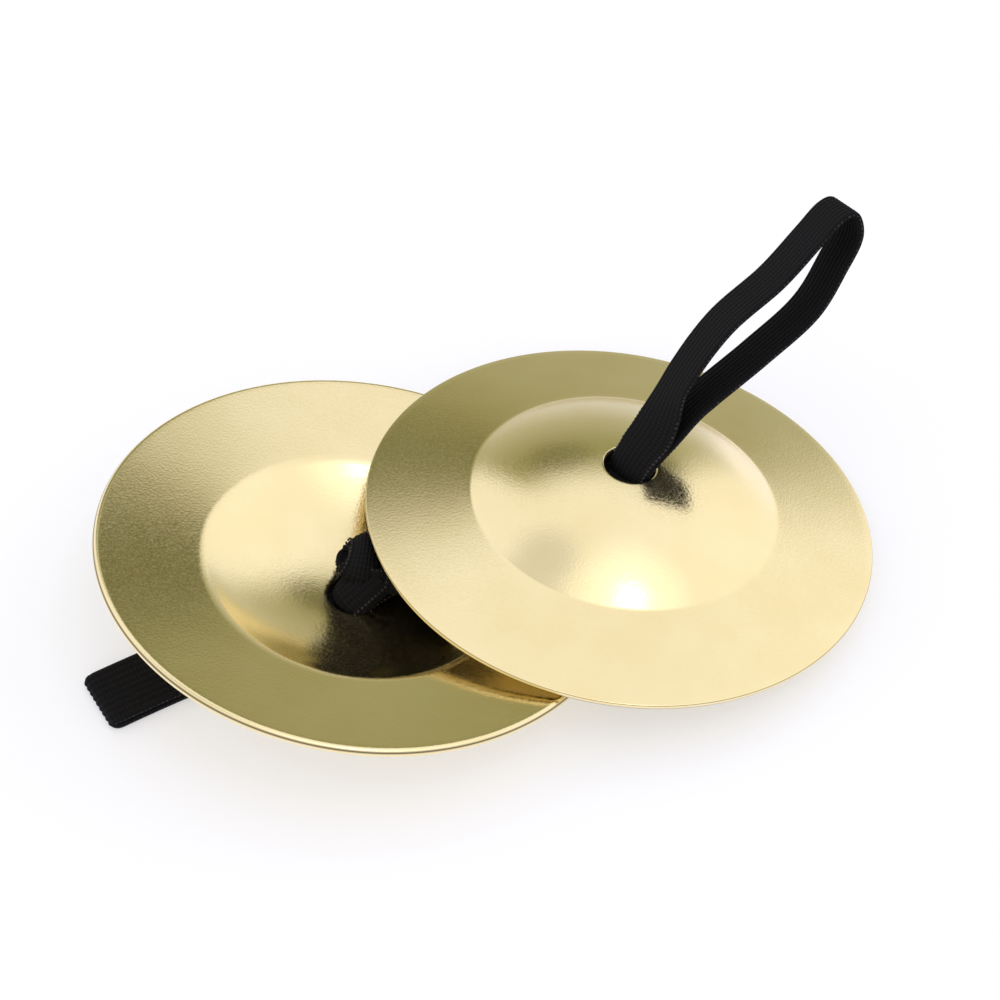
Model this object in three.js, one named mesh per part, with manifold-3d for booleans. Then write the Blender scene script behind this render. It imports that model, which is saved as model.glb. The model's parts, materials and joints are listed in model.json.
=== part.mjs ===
// A pair of finger cymbals: two stamped brass cymbals, each held by an elastic strap
// that passes through its centre hole, ends in a knot inside the dome and makes a
// finger loop outside it. The left cymbal lies on its dome with its mouth up, and the
// right one rests mouth down on the left one's rim. Millimetres, +Z up.
import * as THREE from 'three';
import { mergeVertices } from 'three/addons/utils/BufferGeometryUtils.js';
import Module from 'manifold-3d';

const wasm = await Module();
wasm.setup();

// ---------------------------------------------------------------- driving sizes
const RIM_RADIUS = 32.0;          // a pair of 64 mm (2 1/2 inch) cymbals
const SHEET = 1.05;               // thickness of the brass sheet
const FLANGE_SLOPE = 11.1;        // degrees, the flat flange round the dome
const LAND_WIDTH = 1.0;           // ground flat ring at the mouth, where the pair strike
const RING_RADIUS = 19.3;         // where the flange meets the dome
const DOME_RISE = 5.9;            // from that ring to the top of the dome's sphere
const HOLE_RADIUS = 3.15;         // strap hole
const RING_FILLET = 1.0;          // outside radius in the corner at the ring
const RIM_FILLET = 0.25;          // outside edge of the rim
const LIP_FILLET = 0.4;           // outside edge of the hole
const EDGE_BREAK = 0.12;          // every other edge
const LATHE_STEPS = 60;

const STRAP_WIDTH = 8.0;          // elastic webbing
const STRAP_THICK = 0.8;
const STRAP_REACH = 40.2;         // right loop, from its hole to its end
const LYING_REACH = 33.5;         // left loop, from its hole to its end
const LYING_CORNER = 1.4;         // corner radius at the lying end
const GATHER_LENGTH = 10.0;       // a strap reaches its full width this far from its bend
const GATHERED = 0.72;            // its share of that width at the bend, standing
const LYING_GATHERED = 0.58;      // and lying, where it comes out under the hole's lip
const ROLL_LENGTH = 11.0;         // the standing loop has rolled over by here
const KNOT_LENGTH = 12.0;
const KNOT_WIDTH = 10.0;
const KNOT_HEIGHT = 5.8;
const KNOT_GAP = 0.6;             // between a knot and the inside of its dome
const TAIL_LENGTH = 4.0;          // cut ends, beyond the knot's middle
const TAIL_WIDTH = 6.0;
const TAILS = [-28, 72];          // the ways the two cut ends point, degrees
const TAIL_DROOP = 2;             // and how far they droop at least

const GAP = 0.3;                  // between a strap and the brass
const RIM_GAP = 0.15;             // between the two cymbals, where one rests on the other
const BEND_GAP = 1.6;             // from the bend in a strap to where its loop starts

// How the pieces lie. A lean is the angle between a cymbal's axis and the vertical, and
// its heading is the direction in which that axis leans, from +X towards +Y.
const RIGHT_LEAN = 8.6;
const RIGHT_HEADING = 39.7;
const LEFT_LEAN = 11.9;
const LEFT_HEADING = 32.4;
const LEFT_DIRECTION = 196.8;        // the left mouth's centre is this way from the right one's
const TABLE_GAP = 0.02;              // under the right cymbal's rim
const LOOP_HEADING = 35.8;           // right loop leans this way
const LOOP_RISE = 37.7;              // and rises at this angle
const LOOP_ROLL = -33.0;             // its webbing is rolled about its own length
const BEND_ABOVE_LIP = 0.35;         // bend in the right strap, above the hole
const LYING_HEADING = 212.0;         // left loop's end points this way
const LYING_END_HEADING = 207.3;     // direction from the hole to that end
const LEFT_KNOT_SHIFT = 4.6;         // left knot has slipped to one side of its hole
const RIGHT_KNOT_SHIFT = 0.6;

// ---------------------------------------------------------------- materials
const brass = (hex) => new THREE.MeshStandardMaterial({ color: hex, roughness: 0.25, metalness: 1 });
const elastic = () => new THREE.MeshStandardMaterial({ color: 0x1c1b1a, roughness: 0.9, metalness: 0 });

const radians = (degrees) => degrees * Math.PI / 180;

// ---------------------------------------------------------------- solids
function toSolid(geometry) {
  const merged = geometry.clone();
  merged.deleteAttribute('normal');
  merged.deleteAttribute('uv');
  const welded = mergeVertices(merged, 1e-5);
  return new wasm.Manifold(new wasm.Mesh({
    numProp: 3,
    vertProperties: new Float32Array(welded.attributes.position.array),
    triVerts: new Uint32Array(welded.index.array),
  }));
}

function toGeometry(solid) {
  const mesh = solid.getMesh();
  const geometry = new THREE.BufferGeometry();
  geometry.setAttribute('position', new THREE.BufferAttribute(mesh.vertProperties, 3));
  geometry.setIndex(new THREE.BufferAttribute(mesh.triVerts, 1));
  geometry.computeVertexNormals();
  return geometry;
}

function named(name, geometry, material) {
  const mesh = new THREE.Mesh(geometry, material);
  mesh.name = name;
  return mesh;
}

// ---------------------------------------------------------------- cymbal
// The section is worked out in its own frame: the mouth's plane is z = 0 and the hole's
// axis is +Z, pointing out of the top of the dome.
const slope = radians(FLANGE_SLOPE);
const flangeInside = (r) => (RIM_RADIUS - LAND_WIDTH - r) * Math.tan(slope);
const flangeOutside = (r) => flangeInside(r) + SHEET / Math.cos(slope);
const domeRadius = (RING_RADIUS ** 2 + DOME_RISE ** 2) / (2 * DOME_RISE);
const domeCentre = flangeOutside(RING_RADIUS) + DOME_RISE - domeRadius;
const domeAt = (r, radius) => domeCentre + Math.sqrt(radius ** 2 - r ** 2);
const lipHeight = domeAt(HOLE_RADIUS, domeRadius);
const innerLipHeight = domeAt(HOLE_RADIUS, domeRadius - SHEET);

// Radius at which the inside of the dome meets the inside of the flange.
function insideRing() {
  const radius = domeRadius - SHEET;
  const tangent = Math.tan(slope);
  const rise = flangeInside(0) - domeCentre;
  const a = 1 + tangent ** 2;
  const b = -2 * tangent * rise;
  const c = rise ** 2 - radius ** 2;
  return (-b + Math.sqrt(b ** 2 - 4 * a * c)) / (2 * a);
}

// Points of an arc that rounds the corner at b, between a and c.
function rounded(a, b, c, radius, steps) {
  const into = new THREE.Vector2().subVectors(a, b).normalize();
  const out = new THREE.Vector2().subVectors(c, b).normalize();
  const half = Math.acos(THREE.MathUtils.clamp(into.dot(out), -1, 1)) / 2;
  const reach = radius / Math.tan(half);
  const centre = new THREE.Vector2().addVectors(into, out).normalize();
  centre.multiplyScalar(radius / Math.sin(half)).add(b);
  const first = into.clone().multiplyScalar(reach).add(b).sub(centre);
  const last = out.clone().multiplyScalar(reach).add(b).sub(centre);
  const start = Math.atan2(first.y, first.x);
  let turn = Math.atan2(last.y, last.x) - start;
  if (turn > Math.PI) turn -= 2 * Math.PI;
  if (turn < -Math.PI) turn += 2 * Math.PI;
  return Array.from({ length: steps + 1 }, (_, i) => {
    const angle = start + turn * i / steps;
    return new THREE.Vector2(centre.x + radius * Math.cos(angle), centre.y + radius * Math.sin(angle));
  });
}

function cymbalSection() {
  const domeSteps = 5;
  const innerRing = insideRing();
  const corners = [{ at: [HOLE_RADIUS, innerLipHeight], radius: EDGE_BREAK, steps: 1 }];
  for (let i = 1; i < domeSteps; i += 1) {
    const r = THREE.MathUtils.lerp(HOLE_RADIUS, innerRing, i / domeSteps);
    corners.push({ at: [r, domeAt(r, domeRadius - SHEET)] });
  }
  corners.push({ at: [innerRing, flangeInside(innerRing)], radius: RING_FILLET + SHEET, steps: 3 });
  corners.push({ at: [RIM_RADIUS - LAND_WIDTH, 0] });
  corners.push({ at: [RIM_RADIUS, 0], radius: EDGE_BREAK, steps: 1 });
  corners.push({ at: [RIM_RADIUS, flangeOutside(RIM_RADIUS)], radius: RIM_FILLET, steps: 3 });
  corners.push({ at: [RING_RADIUS, flangeOutside(RING_RADIUS)], radius: RING_FILLET, steps: 3 });
  for (let i = domeSteps - 1; i > 0; i -= 1) {
    const r = THREE.MathUtils.lerp(HOLE_RADIUS, RING_RADIUS, i / domeSteps);
    corners.push({ at: [r, domeAt(r, domeRadius)] });
  }
  corners.push({ at: [HOLE_RADIUS, lipHeight], radius: LIP_FILLET, steps: 3 });
  const points = corners.map((corner) => new THREE.Vector2(...corner.at));
  const section = corners.flatMap((corner, i) => {
    if (!corner.radius) return [points[i]];
    const before = points[(i + points.length - 1) % points.length];
    const after = points[(i + 1) % points.length];
    return rounded(before, points[i], after, corner.radius, corner.steps);
  });
  return [...section, section[0].clone()];
}

function cymbal(name, hex) {
  const geometry = new THREE.LatheGeometry(cymbalSection(), LATHE_STEPS);
  geometry.rotateX(Math.PI / 2);
  return named(name, toGeometry(toSolid(geometry)), brass(hex));
}

// ---------------------------------------------------------------- straps
// A closed outline of a given width round a path that lies in a plane. width is a number
// or a function of the distance from the bend. cap gives the points of the far end.
function outlineRound(path, width, cap = () => []) {
  const widthAt = typeof width === 'function' ? width : () => width;
  const side = (sign) => path.map((point, i) => {
    const before = path[Math.max(i - 1, 0)];
    const after = path[Math.min(i + 1, path.length - 1)];
    const along = new THREE.Vector2().subVectors(after, before).normalize();
    const reach = sign * widthAt(point.x) / 2;
    return new THREE.Vector2(point.x - along.y * reach, point.y + along.x * reach);
  });
  const right = side(-1);
  const left = side(1).reverse();
  return new THREE.Shape([...right, ...cap(right, left), ...left]);
}

// The standing loop seen from its edge. x runs along the loop from the bend at its hole,
// and y is above or below that line. The upper leg comes first, then the lower one.
function standingPath() {
  const tip = STRAP_REACH - STRAP_THICK / 2;
  const legs = [
    [BEND_GAP, 0.62], [0.12 * tip, 1.07], [0.3 * tip, 2.95], [0.5 * tip, 3.6], [0.7 * tip, 2.3],
    [0.86 * tip, 1.95], [0.96 * tip, 1.65], [tip, 0.3], [0.96 * tip, -1.4], [0.86 * tip, -2.95],
    [0.7 * tip, -3.85], [0.5 * tip, -2.95], [0.3 * tip, -1.35], [0.12 * tip, -0.6], [BEND_GAP, -0.62],
  ];
  return new THREE.SplineCurve(legs.map((leg) => new THREE.Vector2(...leg))).getPoints(60);
}

function standingLoop(name) {
  const outline = outlineRound(standingPath(), STRAP_THICK);
  const geometry = new THREE.ExtrudeGeometry(outline, { depth: STRAP_WIDTH, bevelEnabled: false });
  const position = geometry.attributes.position;
  for (let i = 0; i < position.count; i += 1) {
    const x = position.getX(i);
    const gathered = THREE.MathUtils.smoothstep(x, BEND_GAP, GATHER_LENGTH);
    const across = (STRAP_WIDTH / 2 - position.getZ(i)) * THREE.MathUtils.lerp(GATHERED, 1, gathered);
    const roll = radians(LOOP_ROLL) * THREE.MathUtils.smoothstep(x, BEND_GAP, ROLL_LENGTH);
    const above = position.getY(i);
    position.setY(i, across * Math.cos(roll) - above * Math.sin(roll));
    position.setZ(i, across * Math.sin(roll) + above * Math.cos(roll));
  }
  return named(name, toGeometry(toSolid(geometry)), elastic());
}

// The lying loop seen from above, both legs flat on each other. x points at its end.
function lyingLoop(name) {
  const turn = radians(LYING_HEADING - LYING_END_HEADING);
  const end = new THREE.Vector2(LYING_REACH, 0);
  const bend = new THREE.Vector2(-Math.cos(turn), -Math.sin(turn)).multiplyScalar(LYING_REACH / 2).add(end);
  const path = new THREE.QuadraticBezierCurve(new THREE.Vector2(), bend, end).getPoints(24)
    .filter((point) => point.x > BEND_GAP);
  const widthAt = (x) => STRAP_WIDTH * THREE.MathUtils.lerp(
    LYING_GATHERED, 1, THREE.MathUtils.smoothstep(x, BEND_GAP, GATHER_LENGTH));
  const roundEnd = (right, left) => {
    const corners = [right.pop(), left.shift()];
    const [lower, upper] = [right[right.length - 1], left[0]];
    return [
      ...rounded(lower, corners[0], corners[1], LYING_CORNER, 4),
      ...rounded(corners[0], corners[1], upper, LYING_CORNER, 4),
    ];
  };
  const outline = outlineRound(path, widthAt, roundEnd);
  const geometry = new THREE.ExtrudeGeometry(outline, { depth: 2 * STRAP_THICK, bevelEnabled: false });
  return named(name, toGeometry(toSolid(geometry)), elastic());
}

// A cut end droops far enough for its far corner to clear the inside of the dome.
function tailDroop(shift, centre, heading, reach) {
  const ends = [-1, 1].map((side) => {
    const corner = new THREE.Vector2(reach, side * TAIL_WIDTH / 2);
    return corner.rotateAround(new THREE.Vector2(), radians(heading)).add(new THREE.Vector2(shift, 0));
  });
  const furthest = Math.max(...ends.map((end) => end.length()));
  const room = domeAt(furthest, domeRadius - SHEET) - GAP - STRAP_THICK / 2;
  return Math.max(radians(TAIL_DROOP), Math.asin((centre - room) / reach));
}

// The knot in its cymbal's frame: the two legs gathered in the hole, the knot that keeps
// them there, slipped sideways by shift, and the two cut ends.
function knot(name, shift, neckTop) {
  const centre = domeAt(shift, domeRadius - SHEET) - KNOT_GAP - KNOT_HEIGHT / 2;
  const body = new THREE.SphereGeometry(1, 20, 12);
  body.scale(KNOT_LENGTH / 2, KNOT_WIDTH / 2, KNOT_HEIGHT / 2);
  body.translate(shift, 0, centre);
  const neckThickness = 2 * STRAP_THICK + GAP;
  const neckWidth = 2 * Math.sqrt((HOLE_RADIUS - GAP) ** 2 - (neckThickness / 2) ** 2);
  const neckHeight = neckTop - centre;
  const neck = new THREE.BoxGeometry(neckThickness, neckWidth, neckHeight);
  neck.translate(0, 0, centre + neckHeight / 2);
  let solid = toSolid(body).add(toSolid(neck));
  const reach = TAIL_LENGTH + KNOT_LENGTH / 2;
  for (const heading of TAILS) {
    const tail = new THREE.BoxGeometry(reach, TAIL_WIDTH, STRAP_THICK);
    tail.translate(reach / 2, 0, 0);
    tail.rotateY(tailDroop(shift, centre, heading, reach));
    tail.rotateZ(radians(heading));
    tail.translate(shift, 0, centre);
    solid = solid.add(toSolid(tail));
  }
  return named(name, toGeometry(solid), elastic());
}

// ---------------------------------------------------------------- the pair as it lies
// A frame whose +Z is a cymbal's axis, out of the top of its dome.
function cymbalFrame(heading, lean, mouthUp, mouthCentre) {
  const frame = new THREE.Group();
  frame.rotation.set(mouthUp ? Math.PI : 0, radians(lean), radians(heading), 'ZYX');
  frame.position.copy(mouthCentre);
  frame.updateMatrixWorld(true);
  return frame;
}

// The right cymbal's rim is on the table at its lowest point. The left cymbal is as low as
// its dome and the strap under the lip of its hole allow.
const rightMouth = new THREE.Vector3(0, 0, RIM_RADIUS * Math.sin(radians(RIGHT_LEAN)) + TABLE_GAP);
const onDome = domeRadius + domeCentre * Math.cos(radians(LEFT_LEAN)) + GAP;
const lipRise = lipHeight * Math.cos(radians(LEFT_LEAN)) - HOLE_RADIUS * Math.sin(radians(LEFT_LEAN));
const onStrap = 2 * STRAP_THICK + GAP + lipRise;

function leftMouth(distance) {
  const way = radians(LEFT_DIRECTION);
  return new THREE.Vector3(distance * Math.cos(way), distance * Math.sin(way), Math.max(onDome, onStrap));
}

// How far a point in a cymbal's frame is from touching the inside of its flange or rim.
function clearOfFlange(point) {
  const r = Math.hypot(point.x, point.y);
  return r < RIM_RADIUS ? Math.max(flangeInside(r), 0) - point.z : Infinity;
}

// The least clearance between each rim and the other cymbal, at that distance.
function rimClearance(distance) {
  const frames = [
    cymbalFrame(LEFT_HEADING, LEFT_LEAN, true, leftMouth(distance)),
    cymbalFrame(RIGHT_HEADING, RIGHT_LEAN, false, rightMouth),
  ];
  const clearances = frames.flatMap((frame, i) => Array.from({ length: 720 }, (_, step) => {
    const angle = radians(step / 2);
    const rim = new THREE.Vector3(RIM_RADIUS * Math.cos(angle), RIM_RADIUS * Math.sin(angle), 0);
    return clearOfFlange(frames[1 - i].worldToLocal(frame.localToWorld(rim)));
  }));
  return Math.min(...clearances);
}

// The further apart the two are, the higher the right rim is above the left one: it rests
// on it, with the clearance, at the distance found by halving.
function restingDistance() {
  let [near, far] = [RIM_RADIUS / 2, 1.9 * RIM_RADIUS];
  for (let i = 0; i < 40; i += 1) {
    const middle = (near + far) / 2;
    if (rimClearance(middle) < RIM_GAP) near = middle;
    else far = middle;
  }
  return far;
}

const left = cymbalFrame(LEFT_HEADING, LEFT_LEAN, true, leftMouth(restingDistance()));
left.add(cymbal('left_cymbal', 0xd9c88c));
left.add(knot('left_strap_knot', LEFT_KNOT_SHIFT, lipHeight - GAP));

const right = cymbalFrame(RIGHT_HEADING, RIGHT_LEAN, false, rightMouth);
right.add(cymbal('right_cymbal', 0xe0d09a));
right.add(knot('right_strap_knot', RIGHT_KNOT_SHIFT, lipHeight + BEND_ABOVE_LIP - GAP));

const standing = standingLoop('right_strap_loop');
standing.rotation.set(0, -radians(LOOP_RISE), radians(LOOP_HEADING), 'ZYX');
standing.position.copy(right.localToWorld(new THREE.Vector3(0, 0, lipHeight + BEND_ABOVE_LIP)));

const lying = lyingLoop('left_strap_loop');
lying.rotation.set(0, 0, radians(LYING_END_HEADING));
lying.position.copy(left.localToWorld(new THREE.Vector3(0, 0, lipHeight))).setZ(0);

// The origin is under the middle of the pair's box, on the table.
const pair = new THREE.Group();
pair.add(left, right, standing, lying);
pair.updateMatrixWorld(true);
const bounds = new THREE.Box3().setFromObject(pair, true);
const middle = bounds.getCenter(new THREE.Vector3());
pair.position.set(-middle.x, -middle.y, -bounds.min.z);
pair.updateMatrixWorld(true);

export default pair;
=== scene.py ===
# A pair of finger cymbals with black elastic finger loops: the finished surfaces, built
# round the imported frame. Sizes are in millimetres until a mesh is made, and then in metres.
import json
import math

import bpy
import numpy as np
from mathutils import Matrix


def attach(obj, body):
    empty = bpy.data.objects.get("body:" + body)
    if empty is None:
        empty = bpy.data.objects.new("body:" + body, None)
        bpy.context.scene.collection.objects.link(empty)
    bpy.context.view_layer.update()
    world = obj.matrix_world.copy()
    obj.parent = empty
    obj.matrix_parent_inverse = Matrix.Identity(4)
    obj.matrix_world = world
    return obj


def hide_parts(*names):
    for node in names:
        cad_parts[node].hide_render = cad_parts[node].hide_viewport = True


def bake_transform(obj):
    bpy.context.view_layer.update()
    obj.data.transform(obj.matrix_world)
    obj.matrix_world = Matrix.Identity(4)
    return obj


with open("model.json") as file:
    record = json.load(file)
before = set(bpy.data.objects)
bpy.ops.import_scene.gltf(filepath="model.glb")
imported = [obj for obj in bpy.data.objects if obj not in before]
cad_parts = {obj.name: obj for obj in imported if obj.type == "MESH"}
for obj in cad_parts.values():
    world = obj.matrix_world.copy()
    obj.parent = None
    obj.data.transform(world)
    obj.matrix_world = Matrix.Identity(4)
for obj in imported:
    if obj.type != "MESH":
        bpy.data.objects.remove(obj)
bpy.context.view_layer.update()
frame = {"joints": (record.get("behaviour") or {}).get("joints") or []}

MM = 0.001

# ---------------------------------------------------------------- driving sizes
RIM_RADIUS = 32.0           # 64 mm (2 1/2 inch) cymbals
SHEET = 1.05                # brass sheet
FLANGE_SLOPE = math.radians(11.1)
LAND_WIDTH = 1.0            # ground flat ring at the mouth
RING_RADIUS = 19.3          # where the flange meets the dome
DOME_RISE = 5.9
HOLE_RADIUS = 3.15
RING_FILLET = 1.8           # where the flange meets the dome, outside
BOWL_FILLET = 4.0           # the same turn inside the bowl is much softer
RIM_FILLET = 0.2            # the rim's outer corner
MOUTH_FILLET = 0.6          # the rim is rolled round on its open side
MOUTH_DROP = 0.1            # and dips this far below the mouth before it is rounded
LIP_FILLET = 0.4            # the hole's edge on the outside of the dome
EDGE_BREAK = 0.25           # and on the inside
RIM_LINE_SPREAD = 0.2          # the dark line painted round the rim fades over this share of its fillet
CYMBAL_TURNS = 300          # steps round a cymbal

STRAP_WIDTH = 8.0           # elastic webbing
STRAP_THICK = 0.8
EDGE_YARN = 0.25            # the yarn wrapped round each edge stands this far out
RIB_COUNT = 9
RIB_DEPTH = 0.12
STRAP_REACH = 40.2          # standing loop, from its bend to its end
LYING_REACH = 33.5          # lying loop, from its hole to its end
GATHER_LENGTH = 10.0        # a strap reaches its full width this far from its bend
GATHERED = {"left": 0.74, "right": 0.66}    # its share of that width in the hole

LOOP_HEADING = math.radians(35.8)    # the standing loop leans this way
LOOP_RISE = math.radians(37.7)       # and rises at this angle
LOOP_ROLL = math.radians(-33.5)      # its webbing is rolled about its own length
LYING_HEADING = math.radians(212.0)  # the lying loop's end points this way
LYING_END_HEADING = math.radians(207.3)

KNOT_SHIFT = {"left": 4.6, "right": 0.6}    # how far each knot has slipped down its dome
KNOT_DEPTH = 3.5            # middle of a knot below the inside of the dome

STRIP_STEP = 0.3            # steps along a strap
RIB_STEPS = 8               # steps across each rib
LOOP_SPACING = 0.55         # loops of yarn along a strap's edge
LOOP_RADIUS = 0.14
LOOP_STRETCH = 1.5


# ---------------------------------------------------------------- small tools
def unit(v):
    v = np.asarray(v, float)
    return v / np.linalg.norm(v, axis=-1, keepdims=True)


def smoothstep(x, low, high):
    t = np.clip((np.asarray(x, float) - low) / (high - low), 0, 1)
    return t * t * (3 - 2 * t)


def linear(hex_colour):
    """An sRGB hex colour as the linear RGBA that Blender's sockets hold."""
    values = [int(hex_colour[i:i + 2], 16) / 255 for i in (1, 3, 5)]
    return [v / 12.92 if v <= 0.04045 else ((v + 0.055) / 1.055) ** 2.4 for v in values] + [1.0]


def joint(name):
    return next(j for j in frame["joints"] if j["name"] == name)


def add(tree, kind, inputs=None, **settings):
    """Adds a node with its settings, and sets or links its inputs by name or number."""
    node = tree.nodes.new(kind)
    for key, value in settings.items():
        setattr(node, key, value)
    for key, value in (inputs or {}).items():
        socket = node.inputs[key]
        if isinstance(value, bpy.types.NodeSocket):
            tree.links.new(value, socket)
        else:
            socket.default_value = value
    return node


CURVE_STEPS = 40


def smooth_curve(points, step):
    """A Catmull-Rom curve through the points, as points about step apart."""
    p = np.asarray(points, float)
    p = np.concatenate([2 * p[:1] - p[1:2], p, 2 * p[-1:] - p[-2:-1]])
    t = np.linspace(0, 1, CURVE_STEPS, endpoint=False)[:, None]
    pieces = []
    for a, b, c, d in zip(p[:-3], p[1:-2], p[2:-1], p[3:]):
        pieces.append(0.5 * (2 * b + (c - a) * t + (2 * a - 5 * b + 4 * c - d) * t ** 2
                             + (3 * b - a - 3 * c + d) * t ** 3))
    dense = np.concatenate(pieces + [p[-2:-1]])
    length = np.concatenate([[0], np.cumsum(np.linalg.norm(np.diff(dense, axis=0), axis=1))])
    places = np.linspace(0, length[-1], max(int(length[-1] / step), 4) + 1)
    return np.stack([np.interp(places, length, dense[:, i]) for i in range(dense.shape[1])], 1)


def tangents(points, closed=False):
    if closed:
        return unit(np.roll(points, -1, axis=0) - np.roll(points, 1, axis=0))
    return unit(np.gradient(points, axis=0))


def new_piece(name, vertices, faces, smooth=True):
    """A mesh object at the origin, from vertices in millimetres."""
    mesh = bpy.data.meshes.new(name)
    mesh.from_pydata((np.asarray(vertices) * MM).tolist(), [], faces)
    mesh.validate()
    if smooth:
        mesh.shade_smooth()
    piece = bpy.data.objects.new(name, mesh)
    bpy.context.scene.collection.objects.link(piece)
    return piece


# ---------------------------------------------------------------- places
def hole_place(name):
    """A cymbal's own frame: its origin is the middle of its mouth, +Z runs out of the top
    of its dome, and +X points down its slope. Returned as (origin in mm, 3x3 columns)."""
    swivel = joint(name)
    z = unit(swivel["axis"])
    x = unit(np.array([0, 0, -1.0]) + z[2] * z)
    axes = np.stack([x, np.cross(z, x), z], 1)
    return np.array(swivel["pos_m"]) / MM - z * lip_height, axes


dome_radius = (RING_RADIUS ** 2 + DOME_RISE ** 2) / (2 * DOME_RISE)


def flange_inside(r):
    return (RIM_RADIUS - LAND_WIDTH - r) * math.tan(FLANGE_SLOPE)


def flange_outside(r):
    return flange_inside(r) + SHEET / math.cos(FLANGE_SLOPE)


dome_centre = flange_outside(RING_RADIUS) + DOME_RISE - dome_radius


def dome_at(r, radius):
    return dome_centre + math.sqrt(radius ** 2 - r ** 2)


lip_height = dome_at(HOLE_RADIUS, dome_radius)
PLACES = {side: hole_place(side + "_strap_swivel") for side in ("left", "right")}


# ---------------------------------------------------------------- materials
def new_material(name):
    material = bpy.data.materials.new(name)
    material.use_nodes = True
    tree = material.node_tree
    shader = tree.nodes["Principled BSDF"]
    return material, tree, shader


def stamped_brass():
    """Stamped cartridge brass, satin polished on a wheel. The polish is even, so its
    reflections are soft, and the sheet's own grain, about 0.3 mm, breaks up their edges.
    A dark line is painted into its colour round the rim's corners."""
    material, tree, shader = new_material("stamped_brass")
    place = add(tree, "ShaderNodeTexCoord").outputs["Object"]
    cloud = add(tree, "ShaderNodeTexNoise", {"Vector": place, "Scale": 1 / (14 * MM), "Detail": 3.0})
    spread = add(tree, "ShaderNodeMapRange", {
        "Value": cloud.outputs["Fac"], "From Min": 0.35, "From Max": 0.7,
    })
    tint = add(tree, "ShaderNodeMix", {
        "Factor": spread.outputs["Result"], 6: linear("#EFDFAC"), 7: linear("#E9D7A0"),
    }, data_type="RGBA")
    # a dark line painted round the rim's corners, laid over the brass's colour
    rim_dark_line = add(tree, "ShaderNodeAttribute", attribute_name="rim_dark_line").outputs["Fac"]
    colour = add(tree, "ShaderNodeMix", {
        "Factor": rim_dark_line, 6: tint.outputs[2], 7: linear("#3A2E12"),
    }, data_type="RGBA")
    grain = add(tree, "ShaderNodeTexNoise", {
        "Vector": place, "Scale": 1 / (0.31 * MM), "Detail": 1.5, "Roughness": 0.55,
    })
    waves = add(tree, "ShaderNodeTexNoise", {"Vector": place, "Scale": 1 / (6 * MM), "Detail": 1.0})
    rough = add(tree, "ShaderNodeMapRange", {
        "Value": grain.outputs["Fac"], "From Min": 0.3, "From Max": 0.75, "To Min": 0.12, "To Max": 0.24,
    })
    dented = add(tree, "ShaderNodeBump", {
        "Height": waves.outputs["Fac"], "Strength": 0.05, "Distance": 0.3 * MM,
    })
    bump = add(tree, "ShaderNodeBump", {
        "Height": grain.outputs["Fac"], "Strength": 0.65, "Distance": 0.02 * MM,
        "Normal": dented.outputs["Normal"],
    })
    tree.links.new(colour.outputs[2], shader.inputs["Base Color"])
    tree.links.new(rough.outputs["Result"], shader.inputs["Roughness"])
    tree.links.new(bump.outputs["Normal"], shader.inputs["Normal"])
    shader.inputs["Metallic"].default_value = 1.0
    return material


PICK_SPACING = 0.45         # crosswise yarns of the webbing, in mm
WAVE_BANDS = 20             # radians that a wave texture turns through in one unit of its scale


def elastic_webbing():
    """Braided elastic webbing, polyester yarn over rubber cords: matte black, with ribs
    along it and fine crosswise picks. Its colour carries a painted highlight on the rib crests
    and picks, and painted shade in the grooves between them."""
    material, tree, shader = new_material("elastic_webbing")
    flat = add(tree, "ShaderNodeUVMap", uv_map="strip").outputs["UV"]
    axes = add(tree, "ShaderNodeSeparateXYZ", {"Vector": flat})
    picks = add(tree, "ShaderNodeTexWave", {
        "Vector": flat, "Scale": 2 * math.pi / PICK_SPACING / WAVE_BANDS, "Distortion": 1.2,
        "Detail": 2.0, "Detail Scale": 1.5,
    }, bands_direction="Y")
    narrowed = add(tree, "ShaderNodeMapping", {"Vector": flat, "Scale": (3.0, 1.0, 1.0)})
    fibres = add(tree, "ShaderNodeTexNoise", {
        "Vector": narrowed.outputs["Vector"], "Scale": 3.2, "Detail": 3.0,
    })
    # painted highlight and shade: the colour is lighter on the rib crests and picks, darker in the
    # grooves
    turn = add(tree, "ShaderNodeMath", {
        0: axes.outputs["X"], 1: math.pi * RIB_COUNT / STRAP_WIDTH,
    }, operation="MULTIPLY")
    wave = add(tree, "ShaderNodeMath", {0: turn.outputs["Value"]}, operation="COSINE")
    crest = add(tree, "ShaderNodeMath", {0: wave.outputs["Value"]}, operation="ABSOLUTE")
    painted_rib_light = add(tree, "ShaderNodeMath", {
        0: crest.outputs["Value"], 1: picks.outputs["Fac"],
    }, operation="MULTIPLY")
    colour = add(tree, "ShaderNodeMix", {
        "Factor": painted_rib_light.outputs["Value"], 6: linear("#0E0D0D"), 7: linear("#181716"),
    }, data_type="RGBA")
    height = add(tree, "ShaderNodeMath", {
        0: fibres.outputs["Fac"], 1: 0.6, 2: picks.outputs["Fac"],
    }, operation="MULTIPLY_ADD")
    bump = add(tree, "ShaderNodeBump", {
        "Height": height.outputs["Value"], "Strength": 0.4, "Distance": 0.05 * MM,
    })
    tree.links.new(colour.outputs[2], shader.inputs["Base Color"])
    tree.links.new(bump.outputs["Normal"], shader.inputs["Normal"])
    shader.inputs["Roughness"].default_value = 0.85
    shader.inputs["Specular IOR Level"].default_value = 0.12
    return material


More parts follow.
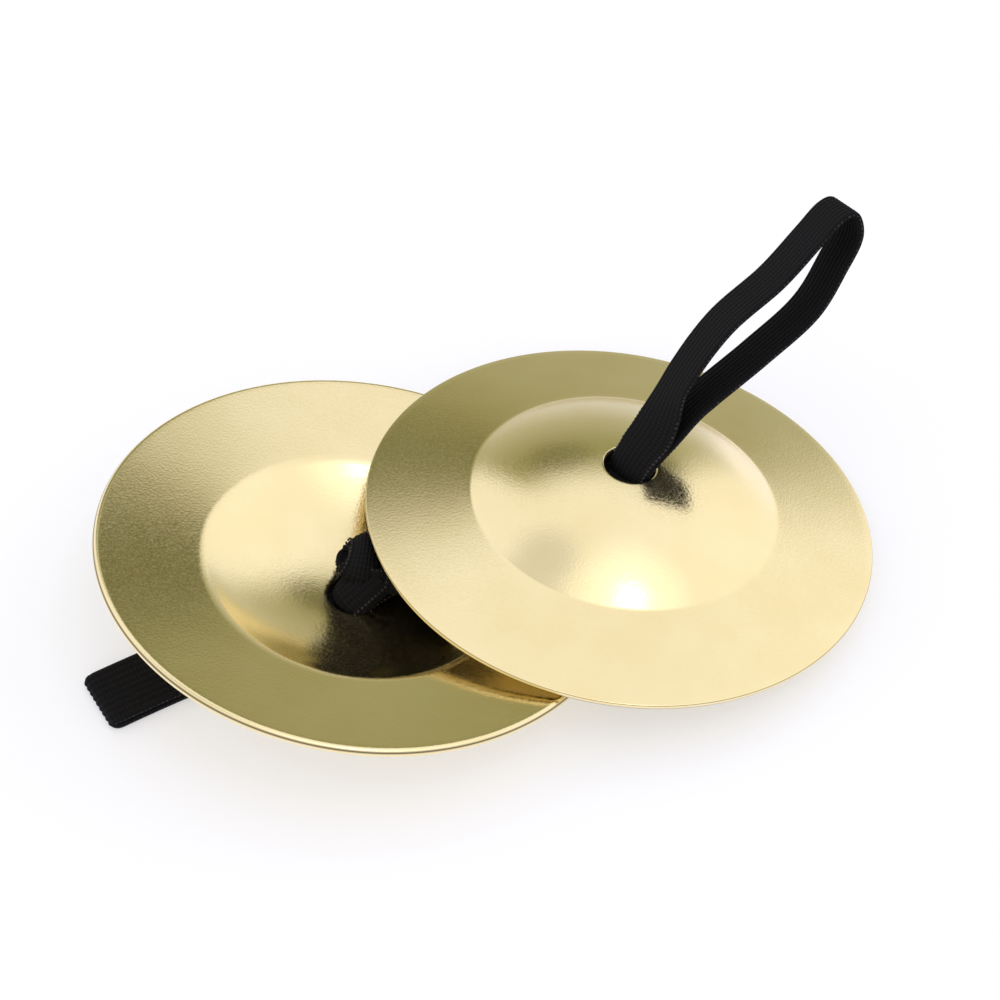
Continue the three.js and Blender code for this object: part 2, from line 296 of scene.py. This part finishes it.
def edge_yarn():
    """The yarn that turns back at the webbing's edges: the same polyester, a little
    glossier where it is wrapped tight. Its colour is painted lighter than the webbing's, a painted
    highlight, so that it reads as a lighter row of dots."""
    material, tree, shader = new_material("edge_yarn")
    place = add(tree, "ShaderNodeTexCoord").outputs["Object"]
    fibres = add(tree, "ShaderNodeTexNoise", {"Vector": place, "Scale": 1 / (0.4 * MM), "Detail": 2.0})
    # painted highlight: the yarn's colour is lighter than the webbing's own black
    colour = add(tree, "ShaderNodeMix", {
        "Factor": fibres.outputs["Fac"], 6: linear("#141312"), 7: linear("#302E2C"),
    }, data_type="RGBA")
    tree.links.new(colour.outputs[2], shader.inputs["Base Color"])
    shader.inputs["Roughness"].default_value = 0.6
    shader.inputs["Specular IOR Level"].default_value = 0.3
    return material


BRASS = stamped_brass()
WEBBING = elastic_webbing()
YARN = edge_yarn()


# ---------------------------------------------------------------- geometry node trees
def new_tree(name, sizes):
    """An empty tree with a geometry input and output and a named input for each size."""
    tree = bpy.data.node_groups.new(name, "GeometryNodeTree")
    tree.interface.new_socket("Geometry", in_out="INPUT", socket_type="NodeSocketGeometry")
    for size, default in sizes.items():
        socket = tree.interface.new_socket(size, in_out="INPUT", socket_type="NodeSocketFloat")
        socket.default_value = default
    tree.interface.new_socket("Geometry", in_out="OUTPUT", socket_type="NodeSocketGeometry")
    return tree, tree.nodes.new("NodeGroupInput").outputs


def finish_tree(tree, geometry, material):
    real = add(tree, "GeometryNodeRealizeInstances", {"Geometry": geometry})
    painted = add(tree, "GeometryNodeSetMaterial", {
        "Geometry": real.outputs["Geometry"], "Material": material,
    })
    output = tree.nodes.new("NodeGroupOutput")
    tree.links.new(painted.outputs["Geometry"], output.inputs["Geometry"])
    return tree


def ribbed_webbing():
    """Raises the webbing's ribs: each point moves along its own outward direction."""
    tree, given = new_tree("ribbed_webbing", {"Rib Count": RIB_COUNT, "Rib Depth": RIB_DEPTH * MM})
    across = add(tree, "GeometryNodeInputNamedAttribute", {"Name": "across"}, data_type="FLOAT")
    outward = add(tree, "GeometryNodeInputNamedAttribute", {"Name": "outward"}, data_type="FLOAT_VECTOR")
    half_turns = add(tree, "ShaderNodeMath", {
        0: across.outputs[0], 1: given["Rib Count"],
    }, operation="MULTIPLY")
    angle = add(tree, "ShaderNodeMath", {0: half_turns.outputs[0], 1: math.pi / 2}, operation="MULTIPLY")
    wave = add(tree, "ShaderNodeMath", {0: angle.outputs[0]}, operation="COSINE")
    crest = add(tree, "ShaderNodeMath", {0: wave.outputs[0]}, operation="ABSOLUTE")
    below = add(tree, "ShaderNodeMath", {0: crest.outputs[0], 1: 1.0}, operation="SUBTRACT")
    depth = add(tree, "ShaderNodeMath", {
        0: below.outputs[0], 1: given["Rib Depth"],
    }, operation="MULTIPLY")
    offset = add(tree, "ShaderNodeVectorMath", {
        0: outward.outputs[0], "Scale": depth.outputs[0],
    }, operation="SCALE")
    moved = add(tree, "GeometryNodeSetPosition", {
        "Geometry": given["Geometry"], "Offset": offset.outputs[0],
    })
    return finish_tree(tree, moved.outputs["Geometry"], WEBBING)


def edge_loops():
    """Sets a small loop of yarn on each point of a webbing's edge."""
    sizes = {"Loop Radius": LOOP_RADIUS * MM, "Loop Stretch": LOOP_STRETCH}
    tree, given = new_tree("edge_loops", sizes)
    facing = add(tree, "GeometryNodeInputNamedAttribute", {"Name": "facing"}, data_type="FLOAT_VECTOR")
    turned = add(tree, "FunctionNodeAlignRotationToVector", {"Vector": facing.outputs[0]}, axis="Z")
    bead = add(tree, "GeometryNodeMeshIcoSphere", {"Radius": given["Loop Radius"], "Subdivisions": 2})
    long_side = add(tree, "ShaderNodeCombineXYZ", {0: 1.0, 1: 1.0, 2: given["Loop Stretch"]})
    stretched = add(tree, "GeometryNodeTransform", {
        "Geometry": bead.outputs["Mesh"], "Scale": long_side.outputs[0],
    })
    size = add(tree, "FunctionNodeRandomValue", {2: 0.8, 3: 1.15, "Seed": 7}, data_type="FLOAT")
    placed = add(tree, "GeometryNodeInstanceOnPoints", {
        "Points": given["Geometry"], "Instance": stretched.outputs["Geometry"],
        "Rotation": turned.outputs["Rotation"], "Scale": size.outputs[1],
    })
    return finish_tree(tree, placed.outputs["Instances"], YARN)


def grow(piece, tree, **sizes):
    """Runs a geometry node tree on a piece and keeps the result as its plain mesh."""
    modifier = piece.modifiers.new(tree.name, "NODES")
    modifier.node_group = tree
    for item in tree.interface.items_tree:
        key = item.name.lower().replace(" ", "_")
        if item.in_out == "INPUT" and key in sizes:
            modifier[item.identifier] = sizes[key]
    depsgraph = bpy.context.evaluated_depsgraph_get()
    mesh = bpy.data.meshes.new_from_object(piece.evaluated_get(depsgraph))
    piece.modifiers.remove(modifier)
    piece.data = mesh
    mesh.shade_smooth()
    return piece


RIBS = ribbed_webbing()
EDGE = edge_loops()


# ---------------------------------------------------------------- cymbals
def rounded(a, b, c, radius, steps):
    """Points of the arc of that radius that rounds the corner b between a and c."""
    into, out = unit(a - b), unit(c - b)
    half = math.acos(np.clip(into @ out, -1, 1)) / 2
    centre = b + unit(into + out) * radius / math.sin(half)
    first = b + into * radius / math.tan(half) - centre
    last = b + out * radius / math.tan(half) - centre
    start = math.atan2(first[1], first[0])
    turn = math.atan2(last[1], last[0]) - start
    turn = (turn + math.pi) % (2 * math.pi) - math.pi
    angles = start + turn * np.linspace(0, 1, steps + 1)
    return centre + radius * np.stack([np.cos(angles), np.sin(angles)], 1)


def inside_ring():
    """Radius at which the inside of the dome meets the inside of the flange."""
    radius = dome_radius - SHEET
    tangent = math.tan(FLANGE_SLOPE)
    rise = flange_inside(0) - dome_centre
    a = 1 + tangent ** 2
    b = -2 * tangent * rise
    return (-b + math.sqrt(b ** 2 - 4 * a * (rise ** 2 - radius ** 2))) / (2 * a)


def cymbal_section():
    """The closed section from the hole's inner edge outwards along the inside and back
    along the outside: (radius, height, dark line) in mm. Each corner is given its fillet, the
    fillet's steps and, where a dark line is painted along it, the line's place along it."""
    inner_ring = inside_ring()
    ring_height = flange_inside(inner_ring)
    corners = [(HOLE_RADIUS, dome_at(HOLE_RADIUS, dome_radius - SHEET), EDGE_BREAK, 5, None)]
    for r in np.linspace(HOLE_RADIUS, inner_ring, 28)[1:-3]:
        corners.append((r, dome_at(r, dome_radius - SHEET), 0, 0, None))
    corners.append((inner_ring, ring_height, BOWL_FILLET, 12, None))
    for share in np.linspace(0, 1, 12)[2:-1]:
        r = inner_ring + share * (RIM_RADIUS - inner_ring)
        corners.append((r, ring_height * (1 - share) - MOUTH_DROP * share, 0, 0, None))
    corners.append((RIM_RADIUS, -MOUTH_DROP, MOUTH_FILLET, 14, 0.7))
    corners.append((RIM_RADIUS, flange_outside(RIM_RADIUS), RIM_FILLET, 6, 0.5))
    for r in np.linspace(RIM_RADIUS, RING_RADIUS, 12)[1:-1]:
        corners.append((r, flange_outside(r), 0, 0, None))
    corners.append((RING_RADIUS, flange_outside(RING_RADIUS), RING_FILLET, 8, None))
    for r in np.linspace(RING_RADIUS, HOLE_RADIUS, 26)[2:-1]:
        corners.append((r, dome_at(r, dome_radius), 0, 0, None))
    corners.append((HOLE_RADIUS, lip_height, LIP_FILLET, 6, None))
    points = [np.array(corner[:2]) for corner in corners]
    section = []
    for i, (_, _, radius, steps, line) in enumerate(corners):
        if not radius:
            section.append((*points[i], 0))
            continue
        arc = rounded(points[i - 1], points[i], points[(i + 1) % len(points)], radius, steps)
        for share, point in zip(np.linspace(0, 1, steps + 1), arc):
            rim_dark_line = 0 if line is None else max(0, 1 - abs(share - line) / RIM_LINE_SPREAD)
            section.append((*point, rim_dark_line))
    return np.array(section)


def cymbal(side):
    """A spun solid of the section, in place of the frame's faceted one."""
    section = cymbal_section()
    count = len(section)
    turns = CYMBAL_TURNS
    angle = np.arange(turns) * 2 * math.pi / turns
    radius, height, rim_dark_line = section.T
    local = np.stack([
        np.outer(np.cos(angle), radius),
        np.outer(np.sin(angle), radius),
        np.tile(height, (turns, 1)),
    ], -1).reshape(-1, 3)
    origin, axes = PLACES[side]
    faces = []
    for i in range(turns):
        here, there = i * count, (i + 1) % turns * count
        for j in range(count):
            after = (j + 1) % count
            faces.append((here + j, there + j, there + after, here + after))
    piece = new_piece(side + "_cymbal_brass", origin + local @ axes.T, faces)
    # how strongly each point is painted with the dark rim line
    attribute = piece.data.attributes.new("rim_dark_line", "FLOAT", "POINT")
    attribute.data.foreach_set("value", np.tile(rim_dark_line, turns).astype(np.float32))
    piece.data.materials.append(BRASS)
    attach(piece, side + "_cymbal")
    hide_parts(side + "_cymbal")


# ---------------------------------------------------------------- webbing
def strip(name, path, across, width, bow=0.0, closed=False):
    """Ribbed webbing along a path. across is the direction of its width at each point,
    width its width there, and bow how far its middle stands proud of its edges, in mm."""
    path = np.asarray(path, float)
    count = len(path)
    along = tangents(path, closed)
    across = unit(across - (across * along).sum(1, keepdims=True) * along)
    normal = np.cross(along, across)
    width = np.broadcast_to(width + 2 * EDGE_YARN, (count,))
    bow = np.broadcast_to(bow, (count,))
    side_steps = RIB_COUNT * RIB_STEPS
    v = np.linspace(-1, 1, side_steps + 1)
    around = np.concatenate([v, v[::-1]])
    face = np.concatenate([np.ones(side_steps + 1), -np.ones(side_steps + 1)])
    edge = np.sqrt(np.clip(1 - np.abs(around) ** 14, 0, 1))
    half = STRAP_THICK / 2 * (0.45 + 0.55 * edge)
    lift = bow[:, None] * (1 - around[None] ** 2) - bow[:, None] / 2
    points = (path[:, None] + across[:, None] * (around * 0.5)[None, :, None] * width[:, None, None]
              + normal[:, None] * (face * half + lift)[..., None])
    outward = normal[:, None] * (face * edge)[None, :, None] * np.ones((count, 1, 1))
    ring = len(around)
    faces = []
    for i in range(count if closed else count - 1):
        here, there = i * ring, (i + 1) % count * ring
        for j in range(ring):
            after = (j + 1) % ring
            faces.append((here + j, there + j, there + after, here + after))
    if not closed:
        faces.append(tuple(range(ring)))
        faces.append(tuple(count * ring - 1 - j for j in range(ring)))
    piece = new_piece(name, points.reshape(-1, 3), faces)
    steps = np.linalg.norm(np.diff(np.concatenate([path, path[:1]]), axis=0), axis=1)
    distance = np.concatenate([[0], np.cumsum(steps)])
    mesh = piece.data
    attribute = mesh.attributes.new("across", "FLOAT", "POINT")
    attribute.data.foreach_set("value", np.tile(around, count).astype(np.float32))
    attribute = mesh.attributes.new("outward", "FLOAT_VECTOR", "POINT")
    attribute.data.foreach_set("vector", outward.reshape(-1).astype(np.float32))
    corner = np.zeros(len(mesh.loops), np.int32)
    mesh.loops.foreach_get("vertex_index", corner)
    row = corner // ring
    if closed:
        seam = row[-4 * ring:]
        seam[seam == 0] = count
    flat = np.stack([around[corner % ring] * STRAP_WIDTH / 2, distance[row]], 1)
    mesh.uv_layers.new(name="strip").data.foreach_set("uv", flat.reshape(-1).astype(np.float32))
    return grow(piece, RIBS, rib_count=float(RIB_COUNT), rib_depth=RIB_DEPTH * MM)


def edging(name, path, across, width, closed=False):
    """The loops of yarn along both edges of a strip."""
    path = np.asarray(path, float)
    along = tangents(path, closed)
    across = unit(across - (across * along).sum(1, keepdims=True) * along)
    width = np.broadcast_to(width + 2 * EDGE_YARN, (len(path),))
    if closed:
        path, along, across, width = (np.concatenate([v, v[:1]]) for v in (path, along, across, width))
    distance = np.concatenate([[0], np.cumsum(np.linalg.norm(np.diff(path, axis=0), axis=1))])
    places = np.arange(LOOP_SPACING / 2, distance[-1], LOOP_SPACING)
    points, facing = [], []
    for sign in (-1, 1):
        rim = path + across * (sign * (width[:, None] / 2 - 0.1))
        points.append(np.stack([np.interp(places, distance, rim[:, i]) for i in range(3)], 1))
        facing.append(np.stack([np.interp(places, distance, along[:, i]) for i in range(3)], 1))
    piece = new_piece(name, np.concatenate(points), [], smooth=False)
    attribute = piece.data.attributes.new("facing", "FLOAT_VECTOR", "POINT")
    attribute.data.foreach_set("vector", np.concatenate(facing).reshape(-1).astype(np.float32))
    return grow(piece, EDGE, loop_radius=LOOP_RADIUS * MM, loop_stretch=LOOP_STRETCH)


BEND_FROM = -0.6            # places along a strap about its bend, from here to here
BEND_TO = 1.6


def bending(piece):
    """Bakes a strap piece's placing into its mesh."""
    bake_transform(piece)


# ---------------------------------------------------------------- the standing loop
LEG_IN_HOLE = ((6.0, 0.5), (3.2, 0.5), (1.0, 0.52))     # depth, and distance from the middle
ROLL_RUN = (1.6, 11.0)      # the webbing rolls over between these places along the loop
BOW_RUN = (2.0, 12.0)       # and its fold opens out between these
STANDING_BOW = 0.45
LYING_BOW = 2.0


def standing_path():
    """The loop seen from its edge: along it from the bend, and above it. The upper leg
    comes first. Its two ends follow separately, because they leave it down the hole."""
    tip = STRAP_REACH - STRAP_THICK / 2 + 0.1
    return [
        (1.6, 0.62), (0.12 * tip, 0.85), (0.3 * tip, 2.6), (0.5 * tip, 3.2), (0.7 * tip, 1.95),
        (0.86 * tip, 1.75), (0.96 * tip, 1.65), (tip, 0.6), (0.96 * tip, -1.65), (0.86 * tip, -2.9),
        (0.7 * tip, -4.1), (0.5 * tip, -3.0), (0.3 * tip, -1.45), (0.12 * tip, -0.35), (1.6, -0.62),
    ]


def standing_strap():
    """The right loop: two legs up from the hole, rolled over and joined at the tip."""
    bend = np.array(joint("right_loop_bend")["pos_m"]) / MM
    hole = -PLACES["right"][1][:, 2]
    heading, rise = LOOP_HEADING, LOOP_RISE
    level = math.cos(rise)
    out = np.array([level * math.cos(heading), level * math.sin(heading), math.sin(rise)])
    wide = np.array([-math.sin(heading), math.cos(heading), 0])
    up = np.cross(out, wide)
    down = np.array([hole @ out, hole @ up])
    down = down / np.linalg.norm(down)
    beside = np.array([down[1], -down[0]])
    legs = []
    for sign in (1, -1):
        legs.append([tuple(down * depth + beside * sign * offset) for depth, offset in LEG_IN_HOLE])
    flat = smooth_curve(legs[0] + standing_path() + legs[1][::-1], STRIP_STEP)
    x, above = flat[:, 0], flat[:, 1]
    roll = LOOP_ROLL * smoothstep(x, *ROLL_RUN)
    gathered = (1 - GATHERED["right"]) * (1 - smoothstep(x, 0.0, GATHER_LENGTH))
    width = STRAP_WIDTH * (1 - gathered)
    wide_now = np.cos(roll)[:, None] * wide + np.sin(roll)[:, None] * up
    up_now = np.cos(roll)[:, None] * up - np.sin(roll)[:, None] * wide
    path = bend + x[:, None] * out + above[:, None] * up_now
    bow = STANDING_BOW * (1 - smoothstep(x, *BOW_RUN))
    band = strip("right_strap_band", path, wide_now, width, bow)
    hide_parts("right_strap_loop")
    bending(band)
    bending(edging("right_strap_edging", path, wide_now, width))


# ---------------------------------------------------------------- the lying loop
def lying_strap():
    """The left loop: pressed flat on the table, its upper layer coming out of the hole."""
    origin, axes = PLACES["left"]
    lip = origin + axes[:, 2] * lip_height
    turn = LYING_HEADING - LYING_END_HEADING
    end = np.array([LYING_REACH, 0.0])
    bend = end - LYING_REACH / 2 * np.array([math.cos(turn), math.sin(turn)])
    low, high = STRAP_THICK / 2, STRAP_THICK * 1.5
    middle = (low + high) / 2
    reach = LYING_REACH - STRAP_THICK / 2
    hole = axes[:, 2]
    out = np.array([math.cos(LYING_END_HEADING), math.sin(LYING_END_HEADING), 0])
    up = np.array([-hole @ out, -hole[2]])
    up = up / np.linalg.norm(up)
    beside = np.array([up[1], -up[0]])
    start = np.array([0.0, lip[2]])
    knot_end = np.array([0.4 - KNOT_SHIFT["left"], lip[2] + 3.4])
    inner = [tuple(knot_end + (0.6, 0.9)), (-1.0, lip[2] + 2.6), tuple(start + up * 1.0 + beside * 1.1)]
    outer = [tuple(knot_end - (0.6, 0.9)), (-2.2, lip[2] + 1.6), tuple(start + up * 0.6 - beside * 1.1)]
    run = np.linspace(4.0, reach - 1.6, 5)
    flat = (inner + [(1.1, lip[2] + 0.1), (2.3, high + 0.04)] + [(x, high) for x in run]
            + [(reach - 0.5, high - 0.03), (reach - 0.02, middle), (reach - 0.5, low + 0.03)]
            + [(x, low) for x in run[::-1]] + [(0.0, low + 0.02), (-2.3, low + 0.06), (-2.7, low + 0.5)]
            + outer[::-1])
    flat = smooth_curve(flat, STRIP_STEP)
    x, height = flat[:, 0], flat[:, 1]
    t = np.clip(x / LYING_REACH, 0, 1)[:, None]
    plan = 2 * t * (1 - t) * bend + t ** 2 * end + np.stack([np.minimum(x, 0), 0 * x], 1)
    slope = unit(2 * (1 - 2 * t) * bend + 2 * t * end)
    c, s = math.cos(LYING_END_HEADING), math.sin(LYING_END_HEADING)
    turned = np.array([[c, s], [-s, c]])
    plan, slope = plan @ turned, slope @ turned
    path = np.concatenate([lip[:2] + plan, height[:, None]], 1)
    wide = np.stack([-slope[:, 1], slope[:, 0], 0 * x], 1)
    corner = np.sqrt(np.clip(1 - (np.clip(x - reach + 1.3, 0, 1.3) / 1.6) ** 2, 0, 1))
    gathered = (1 - GATHERED["left"]) * smoothstep(height, high - 0.1, lip[2] + 0.3)
    width = STRAP_WIDTH * (1 - gathered) - 2.0 * (1 - corner)
    bow = LYING_BOW * smoothstep(height, high, lip[2] + 0.8)
    band = strip("left_strap_band", path, wide, width, bow)
    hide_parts("left_strap_loop")
    pivot = np.array(joint("left_loop_bend")["pos_m"]) / MM
    way = unit(out + hole)
    start, end = pivot + BEND_FROM * way, pivot + BEND_TO * way
    bending(band)
    bending(edging("left_strap_edging", path, wide, width))


# ---------------------------------------------------------------- knots
RING_STEPS = 96


def ring_path(centre, radii, tilt, heading):
    """An oval round the knot, leaned by tilt towards heading, and its width's direction."""
    angle = np.linspace(0, 2 * math.pi, RING_STEPS + 1)[:-1]
    flat = np.stack([radii[0] * np.cos(angle), radii[1] * np.sin(angle), 0 * angle], 1)
    turn = np.array(Matrix.Rotation(heading, 3, "Z") @ Matrix.Rotation(tilt, 3, "Y"))
    return centre + flat @ turn.T, np.tile(turn[:, 2], (len(angle), 1))


def knot(side):
    """An overhand knot in the doubled webbing: a lobe rolled round itself, two wraps, the
    neck that goes down the hole and the two cut ends. Each part is the same webbing,
    gathered where the knot pulls it tight."""
    origin, axes = PLACES[side]
    shift = KNOT_SHIFT[side]
    height = dome_at(shift, dome_radius - SHEET) - KNOT_DEPTH
    centre = np.array([shift, 0, height])
    parts = []

    def place(points):
        return origin + np.asarray(points) @ axes.T

    def wrap(name, offset, radii, tilt, heading, width, bow):
        path, across = ring_path(centre + offset, radii, math.radians(tilt), math.radians(heading))
        width = width * (0.86 - 0.24 * np.cos(2 * math.pi * np.arange(len(path)) / len(path)))
        wide = across @ axes.T
        parts.append(strip(name, place(path), wide, width, bow, closed=True))
        parts.append(edging(name + "_edging", place(path), wide, width, closed=True))

    def strand(name, points, across, width, bow=0.0):
        path = smooth_curve(centre + np.asarray(points, float), STRIP_STEP)
        t = np.linspace(0, 1, len(path))[:, None]
        wide = unit(np.asarray(across[0], float) * (1 - t) + np.asarray(across[1], float) * t) @ axes.T
        parts.append(strip(name, place(path), wide, width, bow))
        parts.append(edging(name + "_edging", place(path), wide, width))

    wrap(side + "_knot_lobe", (-2.3, -2.0, 0.2), (1.9, 2.7), 90, 36, 5.6, 1.5)
    wrap(side + "_knot_roll", (-2.3, -2.0, 0.2), (1.0, 1.7), 90, 36, 6.0, 0.9)
    wrap(side + "_knot_wrap", (0.9, 0.1, 0.1), (2.2, 3.9), 90, 13, 6.0, 0.7)
    wrap(side + "_knot_cross", (0.6, 0.0, 0.0), (4.6, 3.0), 12, 20, 3.4, 0.3)
    neck = np.array([-shift, 0, lip_height - height])
    up_the_hole = [(0, 0, 0), neck * (0.5, 1, 0.35), neck - (0, 0, 2.2), neck - (0, 0, 0.5)]
    strand(side + "_knot_neck", up_the_hole, [(0, 1, 0), (0, 1, 0)], 4.6)
    strand(side + "_cut_end", [(0, 0, 0.3), (3.0, -1.6, 0.2), (6.5, -3.4, 0.0), (9.2, -4.8, -0.5)],
           [(0.45, 0.9, 0.1), (0.45, 0.9, -0.1)], 5.8)
    strand(side + "_cut_end_2", [(0, 0, -0.4), (1.0, 3.0, -0.2), (2.2, 6.2, -0.1), (3.0, 9.0, -0.6)],
           [(0.95, -0.3, 0.1), (0.95, -0.3, -0.1)], 5.8)
    for part in parts:
        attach(part, side + "_knot")
    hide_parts(side + "_strap_knot")


# ---------------------------------------------------------------- studio
LIT_WALLS = (1.12, 1.12, 1.24, 1)
UNLIT_GAP = (0.35, 0.355, 0.20, 1)
SOFT_SPOTS = [              # heading, elevation, inner and outer radius in degrees, share
    (12, 12, 10, 60, 0.10),
    (-45, 69, 8, 30, 0.34),
    (-42, 70, 2, 8, 2.3),   # the lamp
    (165, 69, 3, 18, -0.27),
    (69, 29, 3, 11, -0.5),
    (100, 31, 3, 13, -0.35),
]
TABLE_HALF = 6000.0
TABLE_COLOUR = (0.98, 0.98, 0.97, 1)
TABLE_MATTE = 0.55          # share of its colour that the table scatters
TABLE_GLOW = 0.42           # and share that it gives off by itself
BACKDROP = (1.0, 1.0, 0.99, 1)


def surroundings(tree, way):
    """What the brass reflects, by direction: soft white boxes overhead and at the sides,
    an unlit gap low down at the back, and a small strong lamp high up in front."""
    axes = add(tree, "ShaderNodeSeparateXYZ", {"Vector": way})
    heading = add(tree, "ShaderNodeMath", {
        0: axes.outputs["Y"], 1: axes.outputs["X"],
    }, operation="ARCTAN2").outputs[0]

    def between(value, low, high, low_value, high_value, kind="SMOOTHSTEP"):
        return add(tree, "ShaderNodeMapRange", {
            "Value": value, "From Min": low, "From Max": high, "To Min": low_value, "To Max": high_value,
        }, interpolation_type=kind).outputs["Result"]

    def times(a, b):
        return add(tree, "ShaderNodeMath", {0: a, 1: b}, operation="MULTIPLY").outputs[0]

    def patch(azimuth, rise, inner, outer, strength):
        a, r = math.radians(azimuth), math.radians(rise)
        aim = (math.cos(r) * math.cos(a), math.cos(r) * math.sin(a), math.sin(r))
        near = add(tree, "ShaderNodeVectorMath", {0: way, 1: aim}, operation="DOT_PRODUCT")
        far_edge, near_edge = math.cos(math.radians(outer)), math.cos(math.radians(inner))
        return between(near.outputs["Value"], far_edge, near_edge, 0.0, strength)

    def height_of(degrees):
        return math.sin(math.radians(degrees))

    sides = times(between(heading, math.radians(52), math.radians(67), 0.0, 1.0),
                  between(heading, math.radians(115), math.radians(125), 1.0, 0.0))
    rise = axes.outputs["Z"]
    level = times(between(rise, height_of(-25), height_of(25), 0.4, 1.0, "LINEAR"),
                  between(rise, height_of(31), height_of(55), 1.0, 0.0))
    base = add(tree, "ShaderNodeMix", {
        "Factor": times(sides, level), 6: LIT_WALLS, 7: UNLIT_GAP,
    }, data_type="RGBA").outputs[2]
    total = 1.0
    for spot in SOFT_SPOTS:
        total = add(tree, "ShaderNodeMath", {0: total, 1: patch(*spot)}, operation="ADD").outputs[0]
    lit = add(tree, "ShaderNodeVectorMath", {0: base, "Scale": total}, operation="SCALE")
    return lit.outputs["Vector"]


def floor():
    """A plain pale table top. In the brass it takes the light of its surroundings."""
    half = TABLE_HALF
    corners = [(-half, -half, 0), (half, -half, 0), (half, half, 0), (-half, half, 0)]
    piece = new_piece("table_top", corners, [(0, 1, 2, 3)], smooth=False)
    material, tree, shader = new_material("white_table")
    place = add(tree, "ShaderNodeTexCoord").outputs["Object"]
    above = tuple(joint("right_strap_swivel")["pos_m"])
    away = add(tree, "ShaderNodeVectorMath", {0: place, 1: above}, operation="SUBTRACT").outputs["Vector"]
    way = add(tree, "ShaderNodeVectorMath", {0: away}, operation="NORMALIZE").outputs["Vector"]
    seen = add(tree, "ShaderNodeMix", {
        "Factor": add(tree, "ShaderNodeLightPath").outputs["Is Camera Ray"],
        6: surroundings(tree, way), 7: TABLE_COLOUR,
    }, data_type="RGBA").outputs[2]
    matte = add(tree, "ShaderNodeVectorMath", {0: seen, "Scale": TABLE_MATTE}, operation="SCALE")
    tree.links.new(matte.outputs["Vector"], shader.inputs["Base Color"])
    tree.links.new(seen, shader.inputs["Emission Color"])
    shader.inputs["Emission Strength"].default_value = TABLE_GLOW
    shader.inputs["Roughness"].default_value = 0.9
    shader.inputs["Specular IOR Level"].default_value = 0.0
    piece.data.materials.append(material)


def studio():
    world = bpy.data.worlds.new("studio")
    bpy.context.scene.world = world
    world.use_nodes = True
    tree = world.node_tree
    tree.nodes.clear()
    way = add(tree, "ShaderNodeTexCoord").outputs["Generated"]
    seen = add(tree, "ShaderNodeMix", {
        "Factor": add(tree, "ShaderNodeLightPath").outputs["Is Camera Ray"],
        6: surroundings(tree, way), 7: BACKDROP,
    }, data_type="RGBA")
    glow = add(tree, "ShaderNodeBackground", {"Color": seen.outputs[2], "Strength": 1.0})
    output = add(tree, "ShaderNodeOutputWorld")
    tree.links.new(glow.outputs[0], output.inputs["Surface"])


LENS = 76.28
EYE_FROM_MOUTH = (-15.0, -174.3)    # the camera, from above the middle of the right mouth
EYE_HEIGHT = 205.9
LOOK_DOWN = 48.6            # degrees


def camera():
    """A short telephoto view from in front and above."""
    lens = bpy.data.cameras.new("camera")
    lens.lens = LENS
    lens.sensor_width = 36.0
    lens.clip_end = 100.0
    lens.clip_start = 0.01
    eye = bpy.data.objects.new("camera", lens)
    bpy.context.scene.collection.objects.link(eye)
    mouth = PLACES["right"][0]
    eye.location = (
        (mouth[0] + EYE_FROM_MOUTH[0]) * MM,
        (mouth[1] + EYE_FROM_MOUTH[1]) * MM,
        EYE_HEIGHT * MM,
    )
    eye.rotation_euler = (math.radians(90 - LOOK_DOWN), 0, 0)
    bpy.context.scene.camera = eye


camera()
studio()
floor()
for name in ("left", "right"):
    cymbal(name)
    knot(name)
standing_strap()
lying_strap()

bpy.context.scene.view_settings.view_transform = "Standard"
